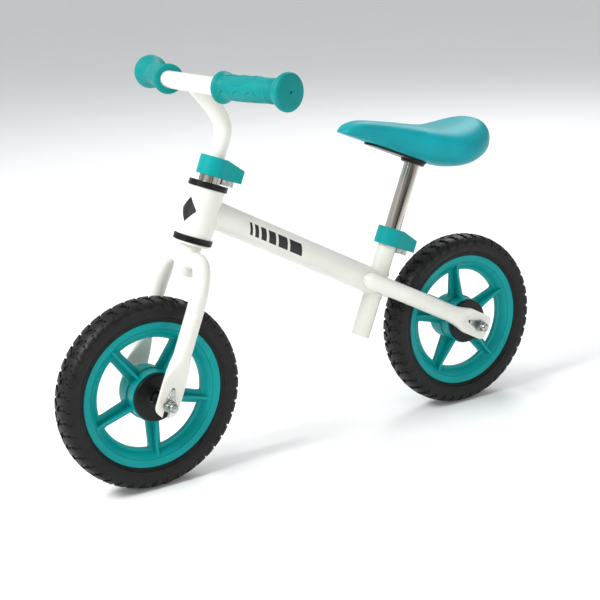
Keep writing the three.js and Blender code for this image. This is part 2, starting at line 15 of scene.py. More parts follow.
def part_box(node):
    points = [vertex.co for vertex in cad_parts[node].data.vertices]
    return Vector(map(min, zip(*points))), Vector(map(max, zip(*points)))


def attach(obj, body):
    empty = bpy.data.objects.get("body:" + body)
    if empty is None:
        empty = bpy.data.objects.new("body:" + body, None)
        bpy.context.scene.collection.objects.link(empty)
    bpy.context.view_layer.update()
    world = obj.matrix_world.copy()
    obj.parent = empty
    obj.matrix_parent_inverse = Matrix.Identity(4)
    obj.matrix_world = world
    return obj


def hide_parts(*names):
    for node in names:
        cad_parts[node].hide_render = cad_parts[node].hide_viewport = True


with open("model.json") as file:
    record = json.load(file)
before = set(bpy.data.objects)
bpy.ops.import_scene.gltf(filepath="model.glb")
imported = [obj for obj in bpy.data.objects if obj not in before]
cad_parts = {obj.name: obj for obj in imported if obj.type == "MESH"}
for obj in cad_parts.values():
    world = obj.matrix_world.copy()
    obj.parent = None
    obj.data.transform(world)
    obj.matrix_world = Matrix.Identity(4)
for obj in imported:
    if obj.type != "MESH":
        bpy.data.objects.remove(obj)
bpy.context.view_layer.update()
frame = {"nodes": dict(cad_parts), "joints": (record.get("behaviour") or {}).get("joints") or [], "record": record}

# %% [markdown]
# ## The camera
# The bike is seen from its front left, a little from above, with a long lens.
# The camera is set by its place, the way it looks and a small roll, so it is a matrix:
# its columns are right, up and backwards.  The shift slides the view without turning it.

# %% Camera
MM = 0.001
CAMERA_PLACE = Vector((1.3678, -0.8459, 0.6667))
CAMERA_AZIMUTH = math.radians(60.02)
CAMERA_ELEVATION = math.radians(12.57)
CAMERA_ROLL = math.radians(-2.95)
CAMERA_LENS = 75.74
CAMERA_SHIFT = (0.0498, -0.137)


def make_camera():
    look = Vector((-math.sin(CAMERA_AZIMUTH) * math.cos(CAMERA_ELEVATION),
                   math.cos(CAMERA_AZIMUTH) * math.cos(CAMERA_ELEVATION),
                   -math.sin(CAMERA_ELEVATION)))
    right = look.cross(Vector((0, 0, 1))).normalized()
    up = right.cross(look)
    turn = Matrix.Rotation(-CAMERA_ROLL, 3, look)
    right, up = turn @ right, turn @ up
    data = bpy.data.cameras.new("camera")
    data.lens = CAMERA_LENS
    data.shift_x, data.shift_y = CAMERA_SHIFT
    camera = bpy.data.objects.new("camera", data)
    camera.matrix_world = (Matrix.Translation(CAMERA_PLACE)
                           @ Matrix((right, up, -look)).transposed().to_4x4())
    bpy.context.scene.collection.objects.link(camera)
    bpy.context.scene.camera = camera


make_camera()
print("camera at", CAMERA_PLACE)

# %% [markdown]
# ## Working frames
# A bicycle is built round a few slanted lines: the steering axis, the main tube and the seat tube.
# Each line gets a matrix whose Z runs along it and whose X is the bike's own X.
# A part is then drawn upright, in millimetres along its tube, and moved into place at the end.

# %% Frames from the record
joints = {joint["name"]: joint for joint in frame["joints"]}
HEAD_JOINT = 236.6          # distances along the steering axis from the front axle, in mm
HEAD_TUBE_BOTTOM, HEAD_TUBE_TOP = 201.0, 264.2
STEM_CLAMP_BASE = 279.5
SEAT_POST_MIDDLE = 85.0     # distance along the seat tube from the main tube's axis
SEAT_CLAMP_BASE = 54.0
TUBE_IN_CLAMP = 13.3        # how far a clamped tube stands up inside its clamp cover
SADDLE_PLANE = 177.3


def frame_along(origin, direction):
    z = Vector(direction).normalized()
    x = Vector((1, 0, 0))
    return Matrix.Translation(origin) @ Matrix((x, z.cross(x), z)).transposed().to_4x4()


def middle(node):
    low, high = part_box(node)
    return (low + high) / 2


SCALE = Matrix.Scale(MM, 4)
front_axle = Vector(joints["front_wheel_spin"]["pos_m"])
rear_axle = Vector(joints["rear_wheel_spin"]["pos_m"])
HEAD = frame_along(front_axle, joints["steering"]["axis"]) @ SCALE
head_joint = HEAD @ Vector((0, 0, HEAD_JOINT))
MAIN = frame_along(head_joint, rear_axle - head_joint) @ SCALE
main_length = (rear_axle - head_joint).length / MM
seat_axis = Vector(joints["saddle_height"]["axis"])
seat_joint = middle("seat_post") - seat_axis * SEAT_POST_MIDDLE * MM
SEAT = frame_along(seat_joint, seat_axis) @ SCALE
seat_crossing = (seat_joint - head_joint).length / MM
WORLD = SCALE
TAIL = MAIN @ Matrix.Translation((0, 0, main_length))
ALONG_X = Matrix.Rotation(math.radians(90), 4, "Y")
OTHER_SIDE = Matrix.Rotation(math.radians(180), 4, "Z")
SIDES = (("left", 1), ("right", -1))
FLIPS = (("left", Matrix()), ("right", OTHER_SIDE))
print("main tube from the head to the rear axle:", round(main_length, 1), "mm")

# %% [markdown]
# ## Colour and nodes
# Paint is named by the hex value seen on a screen, but Blender mixes light in linear values,
# so one function turns one into the other.  A second adds a node with its settings and links.
# Every finish needs its colour, roughness and bump, so each of those gets a small helper too.
# All patterns use Object coordinates, so their sizes are real ones and stay put on the piece.

# %% Helpers for materials
def srgb(code):
    values = [int(code[i:i + 2], 16) / 255 for i in (1, 3, 5)]
    linear = [v / 12.92 if v <= 0.04045 else ((v + 0.055) / 1.055) ** 2.4 for v in values]
    return (*linear, 1.0)


def add_node(tree, kind, inputs=None, **settings):
    made = tree.nodes.new(kind)
    for name, value in settings.items():
        setattr(made, name, value)
    for name, value in (inputs or {}).items():
        if isinstance(value, bpy.types.NodeSocket):
            tree.links.new(value, made.inputs[name])
        else:
            made.inputs[name].default_value = value
    return made


def new_material(name, **principled):
    made = bpy.data.materials.new(name)
    made.use_nodes = True
    tree = made.node_tree
    tree.nodes.clear()
    shader = add_node(tree, "ShaderNodeBsdfPrincipled", principled)
    output = add_node(tree, "ShaderNodeOutputMaterial", {"Surface": shader.outputs["BSDF"]})
    output.location = (400, 0)
    place = add_node(tree, "ShaderNodeTexCoord").outputs["Object"]
    return made, tree, shader, place


def two_tone(tree, shader, factor, low, high, pair):
    """The base colour runs between two hex colours as the factor runs from low to high."""
    ramp = add_node(tree, "ShaderNodeValToRGB", {"Fac": factor})
    for element, position, code in zip(ramp.color_ramp.elements, (low, high), pair):
        element.position = position
        element.color = srgb(code)
    tree.links.new(ramp.outputs["Color"], shader.inputs["Base Color"])


def rough_between(tree, shader, factor, low, high):
    spread = add_node(tree, "ShaderNodeMapRange", {"Value": factor, "To Min": low, "To Max": high})
    tree.links.new(spread.outputs["Result"], shader.inputs["Roughness"])


def bump_from(tree, shader, height, depth_mm, strength):
    bump = add_node(tree, "ShaderNodeBump",
                    {"Height": height, "Distance": depth_mm * MM, "Strength": strength})
    tree.links.new(bump.outputs["Normal"], shader.inputs["Normal"])


def noise(tree, place, size_mm, detail=2.0):
    """Soft noise whose lumps are about size_mm across."""
    made = add_node(tree, "ShaderNodeTexNoise",
                    {"Vector": place, "Scale": 1 / (size_mm * MM), "Detail": detail})
    return made.outputs["Fac"]


print("teal as linear light:", [round(value, 3) for value in srgb("#009191")])

# %% [markdown]
# ## Finishes
# The tubes are powder coated: plastic powder baked on steel, glossy, with a faint orange peel.
# The wheels and clamp covers are moulded polypropylene, and the grips a softer moulded rubber.
# The saddle is polyurethane foam with its own skin.  The tyres are EVA foam, matt with fine pores.
# The small parts are zinc plated, and the two sliding tubes are chromed.
# Each pattern has the size of the real one: orange peel is about 2 mm from lump to lump.

# %% Powder coat
def powder_coat():
    made, tree, shader, place = new_material(
        "white_powder_coat", **{"IOR": 1.5, "Coat Weight": 0.35, "Coat Roughness": 0.12})
    two_tone(tree, shader, noise(tree, place, 45), 0.3, 0.7, ("#e0dfd6", "#e6e5dc"))
    rough_between(tree, shader, noise(tree, place, 14), 0.24, 0.36)
    bump_from(tree, shader, noise(tree, place, 2.0), 0.05, 0.35)
    return made


# %% Moulded plastics, rubber and foam
def moulded(name, pair, rough, grain_mm, depth_mm, strength, **more):
    """A moulded finish: a slow drift of colour, and the grain of the mould's face."""
    made, tree, shader, place = new_material(name, **{"IOR": 1.49, **more})
    two_tone(tree, shader, noise(tree, place, 30), 0.3, 0.7, pair)
    rough_between(tree, shader, noise(tree, place, 9, 3.0), *rough)
    bump_from(tree, shader, noise(tree, place, grain_mm, 3.0), depth_mm, strength)
    return made


def pored_foam():
    made, tree, shader, place = new_material(
        "black_eva_foam", **{"IOR": 1.46, "Specular IOR Level": 0.32})
    two_tone(tree, shader, noise(tree, place, 12, 4.0), 0.35, 0.7, ("#0b0a0a", "#161513"))
    rough_between(tree, shader, noise(tree, place, 5), 0.4, 0.56)
    pores = add_node(tree, "ShaderNodeTexVoronoi", {"Vector": place, "Scale": 1 / (0.9 * MM)})
    bump_from(tree, shader, pores.outputs["Distance"], 0.06, 0.5)
    return made


# %% Metals
def plated(name, pair, rough, cloud_and_reflection_mm, ripple_mm, strength):
    """Plating over drawn steel: the tone clouds between two colours and the surface ripples faintly; on the zinc
    the dark clouds are painted reflections.
    """
    made, tree, shader, place = new_material(name, **{"Metallic": 1.0})
    two_tone(tree, shader, noise(tree, place, cloud_and_reflection_mm), 0.3, 0.7, pair)
    rough_between(tree, shader, noise(tree, place, cloud_and_reflection_mm / 2, 4.0), *rough)
    bump_from(tree, shader, noise(tree, place, ripple_mm), 0.03, strength)
    return made


def chromed_tube():
    """Bright chrome, with the long faint streaks that drawing leaves along a tube in its bump; the dark brown
    streaks in its colour are painted reflections.
    """
    made, tree, shader, place = new_material("bright_chrome_plate", **{"Metallic": 1.0})
    upright = add_node(tree, "ShaderNodeVectorRotate", {"Vector": place, "Angle": math.radians(22.5)},
                       rotation_type="X_AXIS")
    long_way = add_node(tree, "ShaderNodeVectorMath", {0: upright.outputs["Vector"], 1: (1, 1, 0.02)},
                        operation="MULTIPLY")
    drawn_streaks_and_reflections = noise(tree, long_way.outputs["Vector"], 7, 3.0)
    # the dark brown end of this colour is a painted reflection, not chrome's own colour; the light end is the real
    # plate
    two_tone(tree, shader, drawn_streaks_and_reflections, 0.38, 0.62, ("#6d655b", "#cfc9bf"))
    rough_between(tree, shader, noise(tree, place, 12, 4.0), 0.06, 0.16)
    bump_from(tree, shader, drawn_streaks_and_reflections, 0.03, 0.3)
    return made


materials = {
    "white_enamel": powder_coat(),
    "teal_plastic": moulded("teal_polypropylene", ("#009191", "#009897"),
                            (0.3, 0.42), 0.7, 0.03, 0.35, **{"Specular IOR Level": 0.18}),
    "grip_rubber": moulded("teal_thermoplastic_rubber", ("#008482", "#008c8a"),
                           (0.42, 0.56), 0.6, 0.05, 0.5, **{"Specular IOR Level": 0.2}),
    "saddle_foam": moulded("teal_integral_skin_foam", ("#008c95", "#00949d"),
                           (0.4, 0.52), 1.1, 0.05, 0.4, **{"Specular IOR Level": 0.22}),
    "tyre_foam": pored_foam(),
    "black_plastic": moulded("black_polypropylene", ("#060607", "#0c0c0d"),
                             (0.28, 0.4), 0.7, 0.04, 0.35, **{"Specular IOR Level": 0.3}),
    # zinc: the spread down to the dark colour is a painted reflection, laid over a real, slightly cloudy tone
    "zinc_steel": plated("bright_zinc_plate", ("#7f8482", "#c4c7c3"), (0.16, 0.3), 4, 1.5, 0.4),
    "bearing_steel": plated("ground_bearing_steel", ("#a9acad", "#bfc2c3"), (0.2, 0.3), 5, 1.0, 0.2),
    "chrome_steel": chromed_tube(),
}
vinyl = moulded("black_vinyl_film", ("#0c0c0d", "#131314"), (0.34, 0.46), 3.0, 0.02, 0.2)
slot_of = {entry["node"]: entry["material_slot"] for entry in frame["record"]["subparts"]}
for node_name, node_object in frame["nodes"].items():
    node_object.data.materials.clear()
    node_object.data.materials.append(materials[slot_of[node_name]])
print(len(materials), "finishes on", len(frame["nodes"]), "CAD nodes")

# %% [markdown]
# ## Turned shapes
# Cups, nuts, hubs and tyres are round, and a lathe or a round mould made them.  A stack of
# cylinders would leave steps, so a profile of [radius, height] points is spun once round
# instead, and merged where it meets itself.

# %% Turned shapes
def spun(profile, steps=64, closed=True):
    bm = bmesh.new()
    points = [bm.verts.new((radius, 0, height)) for radius, height in profile]
    edges = [bm.edges.new(ends) for ends in zip(points, points[1:])]
    if closed:
        edges.append(bm.edges.new((points[-1], points[0])))
    bmesh.ops.spin(bm, geom=points + edges, cent=(0, 0, 0), axis=(0, 0, 1),
                   angle=math.tau, steps=steps, use_merge=True, use_duplicate=False)
    bmesh.ops.remove_doubles(bm, verts=bm.verts, dist=0.001)
    bmesh.ops.recalc_face_normals(bm, faces=bm.faces)
    return bm


def ring(outer, inner, low, high, steps=64):
    return spun([(inner, low), (outer, low), (outer, high), (inner, high)], steps)


def disc(radius, low, high, steps=48):
    return spun([(0, low), (radius, low), (radius, high), (0, high)], steps, closed=False)


print("a turned ring has", len(ring(2, 1, 0, 1).faces), "faces")

# %% [markdown]
# ## Lofted shapes
# The bent tubes, the saddle and the relief on the grips change their section on the way.  A curve
# with a bevel can't press its end flat, so circles are stretched to the section wanted at each
# place, and bridged into one skin.  A squareness above 2 turns an ellipse into a rounded box.

# %% Lofted shapes
def section(bm, centre, tall, wide, square, sides):
    """One closed loop; tall and wide are the half sizes as vectors, square 2 is an ellipse."""
    made = bmesh.ops.create_circle(bm, cap_ends=False, segments=sides, radius=1)
    loop = made["verts"]
    for vert in loop:
        x, y = (math.copysign(abs(c) ** (2 / square), c) if abs(c) > 1e-6 else 0 for c in vert.co.xy)
        vert.co = centre + tall * x + wide * y
    return list({edge for vert in loop for edge in vert.link_edges})


def close_loft(bm, loops):
    """Bridges a row of loops into a skin, fills its two ends and turns its faces outward."""
    for here, there in zip(loops, loops[1:]):
        bmesh.ops.bridge_loops(bm, edges=here + there)
    for end in (loops[0], loops[-1]):
        bmesh.ops.edgeloop_fill(bm, edges=end)
    bmesh.ops.recalc_face_normals(bm, faces=bm.faces)


def lofted(points, normal, size_at, sides=32):
    """A closed bar along a flat path; size_at(point) gives half height, half width, squareness."""
    bm = bmesh.new()
    loops = []
    for i, point in enumerate(points):
        ahead = points[min(i + 1, len(points) - 1)] - points[max(i - 1, 0)]
        across = normal.cross(ahead.normalized())
        tall, wide, square = size_at(point)
        loops.append(section(bm, point, normal * tall, across * wide, square, sides))
    close_loft(bm, loops)
    return bm


def bend(start, handle_a, handle_b, end, count):
    return list(interpolate_bezier(*map(Vector, (start, handle_a, handle_b, end)), count))


def straight(start, end, count):
    start, end = Vector(start), Vector(end)
    return [start.lerp(end, i / count) for i in range(1, count + 1)]


print("a bend of 8 points ends at", bend((0, 0, 0), (0, 0, 5), (5, 0, 10), (10, 0, 10), 8)[-1])

# %% [markdown]
# ## Joining, carving and finishing
# A finished piece is smoothed, gets a small bevel along its hard edges, and is tied to its body.
# Holes and slots are cut with the exact boolean, which is applied at once so that none is left
# on the piece.  The drawing is scaled to metres last, so every object stays at the origin.

# %% Joining, carving and finishing
def joined(*parts):
    bm = bmesh.new()
    for part in parts:
        mesh = bpy.data.meshes.new("part")
        part.to_mesh(mesh)
        part.free()
        bm.from_mesh(mesh)
        bpy.data.meshes.remove(mesh)
    return bm


def moved(bm, matrix):
    bmesh.ops.transform(bm, matrix=matrix, verts=bm.verts)
    return bm


def object_from(name, bm, matrix):
    bmesh.ops.transform(bm, matrix=matrix, verts=bm.verts)
    mesh = bpy.data.meshes.new(name)
    bm.to_mesh(mesh)
    bm.free()
    made = bpy.data.objects.new(name, mesh)
    bpy.context.scene.collection.objects.link(made)
    return made


def carve(target, cutter_bm, matrix):
    """Cuts a closed shape out of a piece and leaves no modifier behind."""
    cutter = object_from("cutter", cutter_bm, matrix)
    modifier = target.modifiers.new("carve", "BOOLEAN")
    modifier.operation = "DIFFERENCE"
    modifier.object = cutter
    modifier.solver = "EXACT"
    modifier.use_self = True
    bpy.context.view_layer.objects.active = target
    bpy.ops.object.modifier_apply(modifier=modifier.name)
    old = cutter.data
    bpy.data.objects.remove(cutter)
    bpy.data.meshes.remove(old)


def finish_piece(made, material, body, replaced=(), bevel_mm=0.0, smooth_angle=38):
    made.data.materials.clear()
    made.data.materials.append(material)
    made.data.polygons.foreach_set("use_smooth", [True] * len(made.data.polygons))
    made.data.set_sharp_from_angle(angle=math.radians(smooth_angle))
    if bevel_mm:
        modifier = made.modifiers.new("soft edges", "BEVEL")
        modifier.width = bevel_mm * MM
        modifier.segments = 3
        modifier.limit_method = "ANGLE"
        modifier.angle_limit = math.radians(smooth_angle)
        modifier.harden_normals = True
    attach(made, body)
    if replaced:
        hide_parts(*replaced)
    return made


def stand_in(node, bm, matrix, body, bevel_mm=0.0, smooth_angle=38, holes=()):
    """A finer piece that stands for one CAD node, in that node's own finish."""
    made = object_from(f"{node}_surface", bm, matrix)
    for cutter, place in holes:
        carve(made, cutter, place)
    slot = slot_of[node]
    return finish_piece(made, materials[slot], body, (node,), bevel_mm, smooth_angle)


print("nodes that a piece may stand for:", len(slot_of))

# %% [markdown]
# ## Frame tubes
# On the real bike these are cut from round steel tube and welded.  The head tube carries the
# steering, the main tube runs from it to the seat tube, and both are plain turned rings here,
# open where the real ends are open.  The main tube's ends are carved to fit the tubes they meet,
# which also leaves the seat tube clear for its post.  A weld is a bead of molten steel that froze
# as it was laid, so a thin rope of small ripples goes round each joint.  The place of each point
# of the rope is found by halving the distance to the other tube's skin.

# %% Head tube, main tube and seat tube
HEAD_RADIUS, MAIN_RADIUS, SEAT_RADIUS, POST_RADIUS = 23.0, 18.0, 12.7, 11.0
BORE_RADIUS = POST_RADIUS + 0.3         # a tube that another one slides in
WELD_OVERLAP = 0.4                      # how far a tube's end reaches into the tube it meets
stand_in("head_tube", ring(HEAD_RADIUS, 20, HEAD_TUBE_BOTTOM, HEAD_TUBE_TOP), HEAD, "frame", 0.5)
stand_in("main_tube", ring(MAIN_RADIUS, 16.4, 2, seat_crossing), MAIN, "frame",
         holes=[(disc(HEAD_RADIUS - WELD_OVERLAP, 190, 275), HEAD),
                (disc(SEAT_RADIUS - WELD_OVERLAP, -70, 60), SEAT)])
stand_in("seat_tube", ring(SEAT_RADIUS, BORE_RADIUS, -75, SEAT_CLAMP_BASE + TUBE_IN_CLAMP), SEAT,
         "frame", 0.4)


def weld_bead(name, tube, tube_radius, along, other, other_radius, bead=2.2, beats=90):
    """A rope of weld where a tube meets the side of another; both are frames with Z along them."""
    back = other.inverted() @ tube
    bm = bmesh.new()
    loops = []
    for i in range(beats):
        angle = math.tau * i / beats
        rim = Vector((math.cos(angle), math.sin(angle), 0)) * tube_radius
        far, near = along
        for _ in range(30):
            height = (far + near) / 2
            inside = (back @ (rim + Vector((0, 0, height)))).xy.length < other_radius
            far, near = (height, near) if inside else (far, height)
        centre = rim + Vector((0, 0, far))
        swell = bead * (1 + 0.12 * math.sin(i * math.tau / 3))
        tall, wide = rim.normalized() * swell * 0.75, Vector((0, 0, swell))
        loops.append(section(bm, centre, tall, wide, 2, 10))
    for here, there in zip(loops, loops[1:] + loops[:1]):
        bmesh.ops.bridge_loops(bm, edges=here + there)
    bmesh.ops.recalc_face_normals(bm, faces=bm.faces)
    made = object_from(name, bm, tube)
    return finish_piece(made, materials["white_enamel"], "frame")


weld_bead("head_weld", MAIN, MAIN_RADIUS, (0, 60), HEAD, HEAD_RADIUS)
weld_bead("seat_weld_top", SEAT, SEAT_RADIUS, (0, 60), MAIN, MAIN_RADIUS, 1.8)
weld_bead("seat_weld_under", SEAT, SEAT_RADIUS, (0, -60), MAIN, MAIN_RADIUS, 1.8)
print("frame tubes made")

# %% [markdown]
# ## Headset
# The steering turns in two black cups pressed into the head tube.  Each cup has a fine groove
# round it, where the dust cover meets the race.  Both are the same profile, and the lower one is
# turned over.  The crown race is the ring on the fork that the lower bearing stands on.

# %% Headset cups and crown race
CUP_HEIGHT = 6.5
CUP_PROFILE = [(14.4, -6), (19.7, -6), (19.7, 0), (23.1, 0), (23.1, -1.2), (24.6, -1.2), (25, -0.8),
               (25, 3.4), (24.4, 3.7), (24.4, 4.1), (25, 4.4), (25, 6), (24.4, CUP_HEIGHT),
               (14.4, CUP_HEIGHT)]
for cup, place, flip in (("upper_headset_cup", HEAD_TUBE_TOP + 0.3, 0),
                         ("lower_headset_cup", HEAD_TUBE_BOTTOM - 0.3, 180)):
    turn = Matrix.Translation((0, 0, place)) @ Matrix.Rotation(math.radians(flip), 4, "X")
    stand_in(cup, spun(CUP_PROFILE), HEAD @ turn, "frame", 0.15, 25)
RACE_TOP = HEAD_TUBE_BOTTOM - CUP_HEIGHT - 0.6
stand_in("crown_race", spun([(14.3, 190.5), (20, 190.5), (22.6, 191.6), (23, RACE_TOP - 0.5),
                             (22.6, RACE_TOP), (14.3, RACE_TOP)]), HEAD, "fork", 0.3)
print("two cups and the crown race, whose top is at", RACE_TOP, "mm")

# %% [markdown]
# ## Tube clamps
# A clamp cover is a moulded hood that hides a steel band and its bolt.  It isn't round, so it
# can't be turned: its plan is extruded, the top is sliced on a slope towards the tip, and the
# tube's hole and the hollow for the band are carved out from below.

# %% Clamp covers
COVER_RADIUS, COVER_HEIGHT, COVER_WALL, COVER_HOLLOW = 19.5, 24.0, 2.4, 13.8
HOOD_LENGTH, HOOD_HALF_WIDTH = 40.0, 13.0
SLOPE_START, SLOPE_DROP = 9.0, 7.5      # the top falls this far from here to the tip


def hood_outline(inset):
    """The cover seen from above: most of a circle, then straight sides to a rounded tip."""
    radius, tip, wide = COVER_RADIUS - inset, HOOD_LENGTH - inset, HOOD_HALF_WIDTH - inset
    crease = math.radians(27)
    round_part = arc_of(radius, math.pi - crease, math.tau + crease, 40)
    corner = bend((wide, tip - 6, 0), (wide - 0.3, tip - 2, 0), (wide - 2, tip, 0),
                  (wide - 6, tip, 0), 8)
    right = [(point.x, point.y) for point in corner]
    return round_part + right + mirror_x(right)


def only(kind, items):
    return [item for item in items if isinstance(item, kind)]


def prism(outline, low, high):
    """A flat outline of (x, y) points, given a height."""
    bm = bmesh.new()
    face = bm.faces.new([bm.verts.new((x, y, low)) for x, y in outline])
    grown = bmesh.ops.extrude_face_region(bm, geom=[face])["geom"]
    bmesh.ops.translate(bm, verts=only(bmesh.types.BMVert, grown), vec=(0, 0, high - low))
    bmesh.ops.recalc_face_normals(bm, faces=bm.faces)
    return bm


def slice_off(bm, point, outward):
    """Cuts away what lies beyond a plane and closes the cut with a flat face."""
    geom = list(bm.verts) + list(bm.edges) + list(bm.faces)
    cut = bmesh.ops.bisect_plane(bm, geom=geom, plane_co=point, plane_no=outward,
                                 clear_outer=True)["geom_cut"]
    bmesh.ops.holes_fill(bm, edges=only(bmesh.types.BMEdge, cut), sides=0)
    bmesh.ops.recalc_face_normals(bm, faces=bm.faces)


def arc_of(radius, start, end, count):
    angles = (start + (end - start) * i / count for i in range(count + 1))
    return [(math.cos(angle) * radius, math.sin(angle) * radius) for angle in angles]


def mirror_x(points):
    return [(-x, y) for x, y in reversed(points)]


def clamp_cover(node, matrix, base, body):
    solid = prism(hood_outline(0), 0, COVER_HEIGHT)
    slope = Vector((0, SLOPE_DROP, HOOD_LENGTH - SLOPE_START))
    slice_off(solid, (0, SLOPE_START, COVER_HEIGHT), slope.normalized())
    place = matrix @ Matrix.Translation((0, 0, base))
    holes = [(prism(hood_outline(COVER_WALL), -2, COVER_HOLLOW), place),
             (disc(POST_RADIUS + 0.5, -5, COVER_HEIGHT + 5), place)]
    stand_in(node, solid, place, body, 0.9, 28, holes)


clamp_cover("stem_clamp_cover", HEAD, STEM_CLAMP_BASE, "fork")
clamp_cover("seat_clamp_cover", SEAT, SEAT_CLAMP_BASE, "frame")
print("clamp covers made, each", COVER_HEIGHT, "mm high")

# %% [markdown]
# ## Stays
# Each stay is one tube, welded to the side of the main tube and bowed out round the tyre.
# Its end is pressed flat in a die, which spreads it to a wide plate for the axle.
# A curve with a round bevel could make the tube but not its plate, so the loft makes the whole
# of it: round sections that turn into a flat, rounded rectangle.

# %% Stays
STAY_DROPOUT, FORK_DROPOUT, PLATE_HALF = 47.0, 54.0, 2.3
STAY_RADIUS = 11.8
TAB_REACH = 19.0           # from the axle to the small hole that the washer's hook drops into


def mix(low, high, t):
    return low + (high - low) * t


def hook_hole(x):
    return moved(disc(2.6, x - 8, x + 8, 20), ALONG_X)


def stay(side, sign):
    x = sign * STAY_DROPOUT
    bend_end, plate_start, end = seat_crossing + 95, main_length - 24, main_length + 17
    points = bend((sign * 15, 0, seat_crossing - 34), (sign * 32, 0, seat_crossing),
                  (sign * 44, 0, seat_crossing + 40), (x, 0, bend_end), 24)
    points += straight((x, 0, bend_end), (x, 0, plate_start), 14)
    points += straight((x, 0, plate_start), (x, 0, end), 12)

    def size_at(point):
        rest = min(1, max(0, (plate_start - point.z) / (plate_start - bend_end)))
        flat = (1 - rest) ** 2.2
        corner = max(0, (point.z - (end - 6)) / 6)
        nose = math.sqrt(max(0.05, min(1, (point.z - points[0].z + 2) / 12)))
        tall = mix(STAY_RADIUS, 17.5, flat) * (1 - 0.3 * corner ** 2) * nose
        return tall, mix(STAY_RADIUS * nose, PLATE_HALF, flat), mix(2, 9, flat)

    bm = lofted(points, Vector((0, 1, 0)), size_at)
    holes = [(hook_hole(x), MAIN @ Matrix.Translation((0, 0, main_length - TAB_REACH)))]
    stand_in(f"stay_{side}", bm, MAIN, "frame", 0.5, 40, holes)


for side, sign in SIDES:
    stay(side, sign)
print("stays made, with dropouts", STAY_DROPOUT, "mm from the middle")

# %% [markdown]
# ## Fork
# The fork legs leave the steerer's sides, arch over the tyre and run down to flattened ends with
# an open slot, so that the wheel can be dropped out.  The slot leaves two round prongs.
# They are lofted as the stays are.  The slot is a round hole and a box, carved in one go, and
# the steerer's top is slit at the back so that its clamp can squeeze it.

# %% Fork legs and steerer
LEG_RADIUS = 11.0
STEERER_RADIUS, SLOT_HALF = 14.0, 4.3
STAND_ON_YZ = Matrix(((0, 0, 1, 0), (1, 0, 0, 0), (0, 1, 0, 0), (0, 0, 0, 1)))


def fork_leg(side, sign):
    x = sign * FORK_DROPOUT
    bend_end, press_start, press_end, tip = 115, 62, 28, -16
    points = bend((sign * 6, 0, 168), (sign * 39, 0, 186), (x, 0, 162), (x, 0, bend_end), 24)
    points += straight((x, 0, bend_end), (x, 0, press_start), 6)
    points += straight((x, 0, press_start), (x, 0, press_end), 10)
    points += straight((x, 0, press_end), (x, 0, tip), 20)

    def size_at(point):
        rest = min(1, max(0, (point.z - press_end) / (press_start - press_end)))
        flat = (1 - rest) ** 1.4
        rounding = math.sqrt(max(0.12, 1 - (max(0, -5 - point.z) / 11.4) ** 2))
        tall = mix(LEG_RADIUS, 15.5, flat) * rounding
        return tall, mix(LEG_RADIUS, PLATE_HALF, flat), mix(2, 9, flat)

    bm = lofted(points, Vector((0, 1, 0)), size_at)
    mouth = [(-SLOT_HALF, -30), (SLOT_HALF, -30), (SLOT_HALF, 0), (-SLOT_HALF, 0)]
    slot = joined(moved(disc(SLOT_HALF, x - 8, x + 8, 32), ALONG_X),
                  moved(prism(mouth, x - 8, x + 8), STAND_ON_YZ))
    holes = [(slot, HEAD), (hook_hole(x), HEAD @ Matrix.Translation((0, 0, TAB_REACH)))]
    stand_in(f"fork_leg_{side}", bm, HEAD, "fork", 0.5, 40, holes)


for side, sign in SIDES:
    fork_leg(side, sign)
STEERER_TOP = STEM_CLAMP_BASE + TUBE_IN_CLAMP
slit = prism([(-1.5, 5), (1.5, 5), (1.5, 20), (-1.5, 20)], 273, STEERER_TOP + 5)
stand_in("steerer_tube", ring(STEERER_RADIUS, BORE_RADIUS, 192, STEERER_TOP), HEAD, "fork", 0.2,
         holes=[(slit, HEAD)])
finish_piece(object_from("crown_sleeve", ring(14.1, POST_RADIUS + 1, 152, 191), HEAD),
             materials["white_enamel"], "fork", bevel_mm=0.5)
print("fork made, with dropouts", FORK_DROPOUT, "mm from the middle")

# %% [markdown]
# ## Axle fittings
# A dome nut is a hexagon with a polished cap.  Behind it sits a washer with a pointed tab whose
# hook drops into a small hole, so that the wheel can't fall out if the nut works loose.
# The dome is turned and the hexagon is a six-sided cylinder.

# %% Nuts, washers and spacers
NUT_FACE = 2.1             # from the dropout's outer face to the nut, past the washer


def dome_nut():
    base = bmesh.new()
    bmesh.ops.create_cone(base, cap_ends=True, segments=6, radius1=7.4, radius2=7.4, depth=6)
    moved(base, Matrix.Translation((0, 0, NUT_FACE + 3)))
    face = NUT_FACE + 6
    dome = spun([(0, NUT_FACE + 1), (6.4, NUT_FACE + 1), (6.4, face), (6.05, face + 0.6),
                 (6.0, face + 2.8), (5.5, face + 5), (4.4, face + 6.7), (2.6, face + 7.8),
                 (1.2, face + 8.15), (0, face + 8.2)], 40, closed=False)
    return joined(base, dome)


def tab_washer():
    """The disc, its pointed tab and the hook that goes into the tube's hole."""
    round_part = arc_of(8.5, math.radians(48), math.radians(312), 30)
    tab = [(TAB_REACH - 1, -2.2), (TAB_REACH + 1.2, -1.2), (TAB_REACH + 1.2, 1.2), (TAB_REACH - 1, 2.2)]
    plate = prism(round_part + tab, 0.3, 1.8)
    hook = moved(disc(1.6, -2.7, 1.6, 16), Matrix.Translation((TAB_REACH, 0, 0)))
    return joined(plate, hook)


